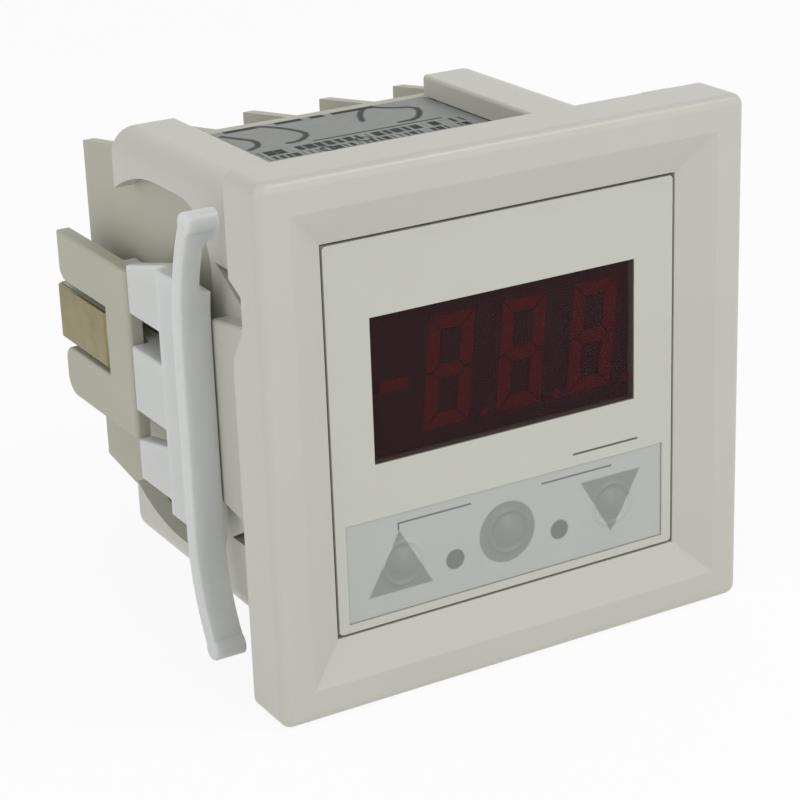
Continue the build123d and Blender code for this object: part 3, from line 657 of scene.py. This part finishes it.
label_film, place = blank("label_film", Metallic=0.1, Specular_IOR_Level=0.15)
x, y, _ = axes(place)
curves = joined([stroke(x, y, rounded(points), CURVE_WIDTH) for points in CURVES])
rules = [rectangle(x, y, *UPPER_RULE), rectangle(x, y, *LOWER_RULE)]
dashes = [rectangle(x, y, start, end, DASH_LOW, DASH_HIGH) for start, end in DASHES]
rings = [RING_HALF_LINE - abs(disc(x, y, centre, RING_MIDDLE)) for centre in RING_CENTRES]
bars = [uneven_bars(x, y, *row) for row in UNEVEN_ROWS] + [repeated_bars(x, y, *EVEN_ROW)]
marks = joined(rules + dashes + rings + bars)
silver = blend(noise(place, 0.35, 3.0), tone(152, 156, 152), tone(138, 142, 138))
colour = blend(mask(curves, CURVE_SOFTNESS), silver, tone(52, 54, 48))
colour = blend(mask(marks, MARK_SOFTNESS), colour, tone(30, 33, 32))
dress(label_film, Base_Color=colour, Roughness=noise(place, 1.4, 2.0) * 0.15 + 0.48)
give(label_film, "wiring_label")
print("label finish:", label_film.name)

# %% [markdown]
# ## Sprung brass clips
#
# Each lug carries a folded strip of spring brass. A folded strip is a profile carried along a
# path: the path is the fold seen from above, and the profile is the strip's height with its
# rounded edges.

# %% Folded brass strip
CLIP_SHEET = 0.35
CLIP_BEND = 0.5
CLIP_EDGE = 0.12
LEG_STEPS, BEND_STEPS, EDGE_STEPS = 24, 9, 5


def fold_path(outer_x, inner_x, front_y, back_y, side):
    """The middle line of the strip: back along the outer leg, round the bend, forwards again.

    The two corners of the bend are quarter circles, so the line has no kink.
    """
    turn = np.linspace(0, math.pi / 2, BEND_STEPS)
    middle_out, middle_in = outer_x - CLIP_SHEET / 2, inner_x + CLIP_SHEET / 2
    radius = min(CLIP_BEND, (middle_out - middle_in) / 2)
    back = back_y - CLIP_SHEET / 2
    leg = np.linspace(front_y, back - radius, LEG_STEPS)[:-1]
    first_x = middle_out - radius + radius * np.cos(turn)
    first_y = back - radius + radius * np.sin(turn)
    second_x = middle_in + radius - radius * np.sin(turn)
    second_y = back - radius + radius * np.cos(turn)
    outer, inner = np.full_like(leg, middle_out), np.full_like(leg, middle_in)
    x = np.concatenate([outer, first_x, second_x, inner])
    y = np.concatenate([leg, first_y, second_y, leg[::-1]])
    return np.stack([x * side, y], axis=-1)


def strip(path, low_z, high_z, thickness, edge):
    """A rounded-edge profile carried along a path that lies level.

    At each point of the path the profile stands across it: half the thickness to each side,
    from the lower edge to the upper one, its corners quarter circles of the edge's radius.
    """
    along = np.gradient(path, axis=0)
    along /= np.linalg.norm(along, axis=1, keepdims=True)
    across = np.stack([along[:, 1], -along[:, 0]], axis=-1)
    turn = np.linspace(0, math.pi / 2, EDGE_STEPS)
    corners = [(1, 1, 0), (-1, 1, 1), (-1, -1, 2), (1, -1, 3)]
    half, height = thickness / 2 - edge, (high_z - low_z) / 2 - edge
    rounds = [(sx * half + edge * np.cos(turn + quarter * math.pi / 2),
               sz * height + edge * np.sin(turn + quarter * math.pi / 2))
              for sx, sz, quarter in corners]
    out = np.concatenate([round_x for round_x, _ in rounds])
    up = np.concatenate([round_z for _, round_z in rounds]) + (low_z + high_z) / 2
    plan = path[:, None, :] + across[:, None, :] * out[None, :, None]
    height = np.broadcast_to(up, plan.shape[:2])
    return np.concatenate([plan, height[..., None]], axis=-1)


def side_faces(rows, columns, first=0):
    """The faces round a grid whose rows close into rings. They count their points from `first`."""
    corner = np.arange(rows * columns).reshape(rows, columns) + first
    after = np.roll(corner, -1, axis=1)
    return np.stack([corner[:-1], corner[1:], after[1:], after[:-1]], axis=-1).reshape(-1, 4)


def tube_faces(rows, columns):
    """The faces of a profile carried along a path, with a cap at both ends."""
    first_ring = np.arange(columns)
    last_ring = first_ring + (rows - 1) * columns
    caps = [first_ring.tolist(), last_ring[::-1].tolist()]
    return side_faces(rows, columns).tolist() + caps


print("folded strip ready")

# %% Brass and the two clips
ROLLED_LINES = 14.0

brass, place = blank("brass", Metallic=0.75)
tarnish = noise(place, 0.5, 4.0)
rolled = place.node("ShaderNodeMapping", {}, {"Vector": place, "Scale": (1.0, 1.0, ROLLED_LINES)})
lines = noise(rolled, 1.2, 3.0)
dress(brass, Base_Color=blend(tarnish, tone(150, 142, 100), tone(118, 108, 70)),
      Roughness=lines * 0.25 + 0.25, Normal=bumped(lines, 0.004))
for word, side in (("left", -1), ("right", 1)):
    low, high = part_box(f"side_clip_{word}")
    reach = sorted((abs(low[0]) / MM, abs(high[0]) / MM))
    path = fold_path(reach[1], reach[0], low[1] / MM, high[1] / MM, side)
    points = strip(path, low[2] / MM, high[2] / MM, CLIP_SHEET, CLIP_EDGE)
    faces = tube_faces(*points.shape[:2])
    clip = outward(piece(f"brass_clip_{word}", points.reshape(-1, 3), faces, brass))
    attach(clip, "unit")
    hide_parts(f"side_clip_{word}")
print("clips:", points.shape[0], "stations of", points.shape[1], "points")

# %% [markdown]
# ## Terminal screws
#
# A screw is a lathe shape, so its surface has two parameters: the angle round the axis and the
# way along the profile. The crossed recess isn't round: it is pressed into the head after the
# turning, by moving the points of the head's top that lie within the cross.

# %% Lathed screws with a crossed recess
HEAD_RADIUS, HEAD_HEIGHT, SHANK_RADIUS = 2.75, 1.9, 1.45
RECESS_WIDTH, RECESS_REACH, RECESS_DEPTH = 0.75, 2.05, 1.0
RECESS_SIDE, RECESS_END = 0.12, 0.35
THREAD_PITCH, THREAD_DEPTH, THREAD_START = 0.5, 0.12, 0.3
CAP_RISE, RIM_ROUND = 0.12, 0.7
RECESSED_SHARE = 0.6
TIP_LENGTH, TIP_RADIUS = 0.5, 0.6
CAP_STEPS, RIM_STEPS, SHANK_STEPS, TURN_STEPS = 26, 8, 60, 120


def screw_profile(length):
    """Radius and depth along the screw, from the middle of the head to the tip.

    The head's top is a shallow cap with a quarter circle at its rim. The shank follows as a
    straight line, and the tip is a short cone.
    """
    tip = HEAD_HEIGHT + length
    inner = np.linspace(0, HEAD_RADIUS - RIM_ROUND, CAP_STEPS)
    cap = CAP_RISE * (inner / HEAD_RADIUS) ** 2
    turn = np.linspace(0, math.pi / 2, RIM_STEPS)[1:]
    rim_radius = HEAD_RADIUS - RIM_ROUND + RIM_ROUND * np.sin(turn)
    rim_depth = cap[-1] + RIM_ROUND - RIM_ROUND * np.cos(turn)
    shank_radius = np.full(SHANK_STEPS, SHANK_RADIUS)
    shank_depth = np.linspace(HEAD_HEIGHT, tip - TIP_LENGTH, SHANK_STEPS)
    radius = np.concatenate([inner, rim_radius, [HEAD_RADIUS], shank_radius, [TIP_RADIUS, 0]])
    depth = np.concatenate([cap, rim_depth, [HEAD_HEIGHT], shank_depth, [tip, tip]])
    return radius, depth


def recess(x, z):
    """How deep the cross is at a point of the head: full inside its two bars, none outside."""
    def bar(across, along):
        sides = np.clip((RECESS_WIDTH / 2 - np.abs(across)) / RECESS_SIDE + 0.5, 0, 1)
        ends = np.clip((RECESS_REACH - np.abs(along)) / RECESS_END, 0, 1)
        return sides * ends
    return RECESS_DEPTH * np.maximum(bar(x, z), bar(z, x))


def screw(centre, head_back, length, turned):
    """The points of one screw: profile times angle, its axis along Y."""
    radius, depth = screw_profile(length)
    angle = np.linspace(0, 2 * math.pi, TURN_STEPS, endpoint=False)
    thread = (depth > HEAD_HEIGHT + THREAD_START) & (radius == SHANK_RADIUS)
    wave = np.abs(((depth[:, None] / THREAD_PITCH + angle / (2 * math.pi)) % 1) - 0.5) * 2
    reach = radius[:, None] - THREAD_DEPTH * wave * thread[:, None]
    x, z = reach * np.cos(angle), reach * np.sin(angle)
    on_head = (depth < HEAD_HEIGHT * RECESSED_SHARE)[:, None]
    y = head_back - depth[:, None] - recess(x, z) * on_head
    cos, sin = math.cos(turned), math.sin(turned)
    return np.stack([centre[0] + x * cos - z * sin, y, centre[1] + x * sin + z * cos], axis=-1)


# %% The eight screws
TURN_SEED = 4
COLUMNS = 4

screw_low, screw_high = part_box("terminal_screws")
HEAD_BACK = screw_high[1] / MM
SCREW_LENGTH = (screw_high[1] - screw_low[1]) / MM - HEAD_HEIGHT
COLUMN_PITCH = ((screw_high[0] - screw_low[0]) / MM - 2 * HEAD_RADIUS) / (COLUMNS - 1)
ROW_Z = (screw_high[2] - screw_low[2]) / MM / 2 - HEAD_RADIUS
across = COLUMN_PITCH * (np.arange(COLUMNS) - (COLUMNS - 1) / 2)
places = [(x, z) for z in (ROW_Z, -ROW_Z) for x in across]
turns = np.random.default_rng(TURN_SEED).uniform(0, math.pi / 2, len(places))
all_points, all_faces = [], []
for index, (centre, turned) in enumerate(zip(places, turns)):
    points = screw(centre, HEAD_BACK, SCREW_LENGTH, turned)
    rows, columns = points.shape[:2]
    all_points.append(points.reshape(-1, 3))
    all_faces.append(side_faces(rows, columns, index * rows * columns))
steel, place = blank("plated_steel", Metallic=0.9)
wear = noise(place, 1.6, 4.0)
dress(steel, Base_Color=blend(wear, tone(196, 196, 192), tone(160, 161, 160)),
      Roughness=wear * 0.25 + 0.2, Normal=bumped(noise(place, 9.0, 2.0), 0.003))
screws = piece("terminal_screws_lathed", np.concatenate(all_points), np.concatenate(all_faces), steel)
outward(screws)
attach(screws, "unit")
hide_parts("terminal_screws")
print("screws:", len(screws.data.polygons), "faces, pitch", round(COLUMN_PITCH, 3), "mm")

# %% [markdown]
# ## The inner parts
#
# The boards, the chip and the switches are hidden in the closed case, but the model can be
# taken apart, so they get their finishes too.

# %% Inner finishes
def simple(name, colour, shade, roughness, scale=0.8, depth=0.004, **sockets):
    """A plain finish with a little variation in colour, gloss and height."""
    material, place = blank(name, **sockets)
    clouds = noise(place, scale, 3.0)
    return dress(material, Base_Color=blend(clouds, colour, shade),
                 Roughness=clouds * 0.15 + (roughness - 0.07), Normal=bumped(clouds, depth))


board_green = simple("board_green", tone(38, 104, 62), tone(30, 88, 52), 0.4, 0.6)
part_black = simple("part_black", tone(44, 44, 46), tone(34, 34, 36), 0.5, 1.5)
key_grey = simple("key_grey", tone(150, 152, 151), tone(140, 142, 141), 0.5)
stem_brown = simple("stem_brown", tone(120, 74, 48), tone(104, 62, 40), 0.4)
lamp_resin = simple("lamp_resin", tone(176, 182, 170), tone(160, 166, 156), 0.2, Alpha=0.9)
can_silver = simple("can_silver", tone(178, 180, 184), tone(160, 162, 166), 0.35, Metallic=0.8)
give(board_green, "display_board", "main_board", "terminal_board")
give(part_black, "front_header", "rear_header", "controller_chip",
     "output_transistor_left", "output_transistor_right")
give(can_silver, "smoothing_capacitor")
give(lamp_resin, "output_lamp_left", "output_lamp_right")
give(steel, "terminal_washers", "terminal_plates")
for key in ("up", "set", "down"):
    give(key_grey, f"key_{key}")
    give(stem_brown, f"switch_stem_{key}")
    give(part_black, f"tact_switch_{key}")
print("inner finishes done")

# %% [markdown]
# ## Floor and background
#
# The photograph has a plain white ground. The floor is white paint mixed with a soft white glow
# that only the camera and reflections see, so it stays pale and still takes the object's shadow.
# The world does the same: the camera sees white, and the object gets a gentler fill.

# %% Floor and world
FLOOR_Z = cad_box[0][2]
FLOOR_HALF = 3.0
corners = np.array([(-1, -1, 0), (1, -1, 0), (1, 1, 0), (-1, 1, 0)]) * FLOOR_HALF / MM
corners[:, 2] = FLOOR_Z / MM
WHITE = (1.0, 1.0, 1.0, 1.0)
FLOOR_GLOW = 0.9
FILL_LIGHT = 0.64


def seen_directly(tree):
    """1 for rays from the camera, in mirrors and through glass, and 0 for the light's own rays."""
    rays = tree.nodes.new("ShaderNodeLightPath")
    names = ("Is Camera Ray", "Is Glossy Ray", "Is Transmission Ray")
    camera_ray, glossy, through = [Signal(tree, rays.outputs[name]) for name in names]
    return camera_ray.most(glossy).most(through)


paint, place = blank("floor_paint", Roughness=0.9)
dress(paint, Base_Color=blend(noise(place, 0.02, 2.0), tone(250, 250, 249), tone(247, 247, 246)))
tree = paint.node_tree
share = seen_directly(tree) * FLOOR_GLOW
glow = share.node("ShaderNodeEmission", {}, {"Color": WHITE, "Strength": 1.0})
shader = Signal(tree, tree.nodes["Principled BSDF"].outputs[0])
mixed = share.node("ShaderNodeMixShader", {}, {0: share, 1: shader, 2: glow})
tree.links.new(mixed.source, tree.nodes["Material Output"].inputs["Surface"])
floor = piece("floor", corners, np.array([[0, 1, 2, 3]]), paint, smooth=False)

world = bpy.data.worlds.new("studio")
bpy.context.scene.world = world
world.use_nodes = True
tree = world.node_tree
level = seen_directly(tree) * (1 - FILL_LIGHT) + FILL_LIGHT
background = tree.nodes["Background"]
background.inputs["Color"].default_value = WHITE
plug(tree, background.inputs["Strength"], level)
print("floor at", FLOOR_Z, "m")

# %% [markdown]
# ## Lamps
#
# Soft boxes stand round the object, as in a catalogue photograph: a small one above on the right
# that draws the highlight along the frame's top edge, a weak one low in front on the right, and a
# large one on the left that lights the clamp and the side of the case.

# %% Soft boxes
def soft_box(name, place, aim, size, power):
    """A square area lamp at a place, turned towards a point. Places and sizes are in mm."""
    data = bpy.data.lights.new(name, "AREA")
    data.shape = "SQUARE"
    data.size = size * MM
    data.energy = power
    lamp = bpy.data.objects.new(name, data)
    lamp.location = [value * MM for value in place]
    direction = np.array(aim) - np.array(place)
    flat = math.hypot(direction[0], direction[1])
    lamp.rotation_euler = (math.atan2(flat, -direction[2]), 0, math.atan2(-direction[0], direction[1]))
    bpy.context.scene.collection.objects.link(lamp)
    return lamp


TARGET = (0, 10, 0)
LAMPS = (
    ("key_light", (150, -130, 270), 110, 0.2),
    ("fill_light", (130, -290, 90), 200, 0.12),
    ("side_light", (-270, -150, 50), 260, 0.27),
)
for name, stand, size, power in LAMPS:
    soft_box(name, stand, TARGET, size, power)
print("lamps:", [light.name for light in bpy.data.lights])

# %% [markdown]
# ## Finish
#
# The view stays on the Standard transform, so colours render as they are written.

# %% The view transform
bpy.context.scene.view_settings.view_transform = "Standard"
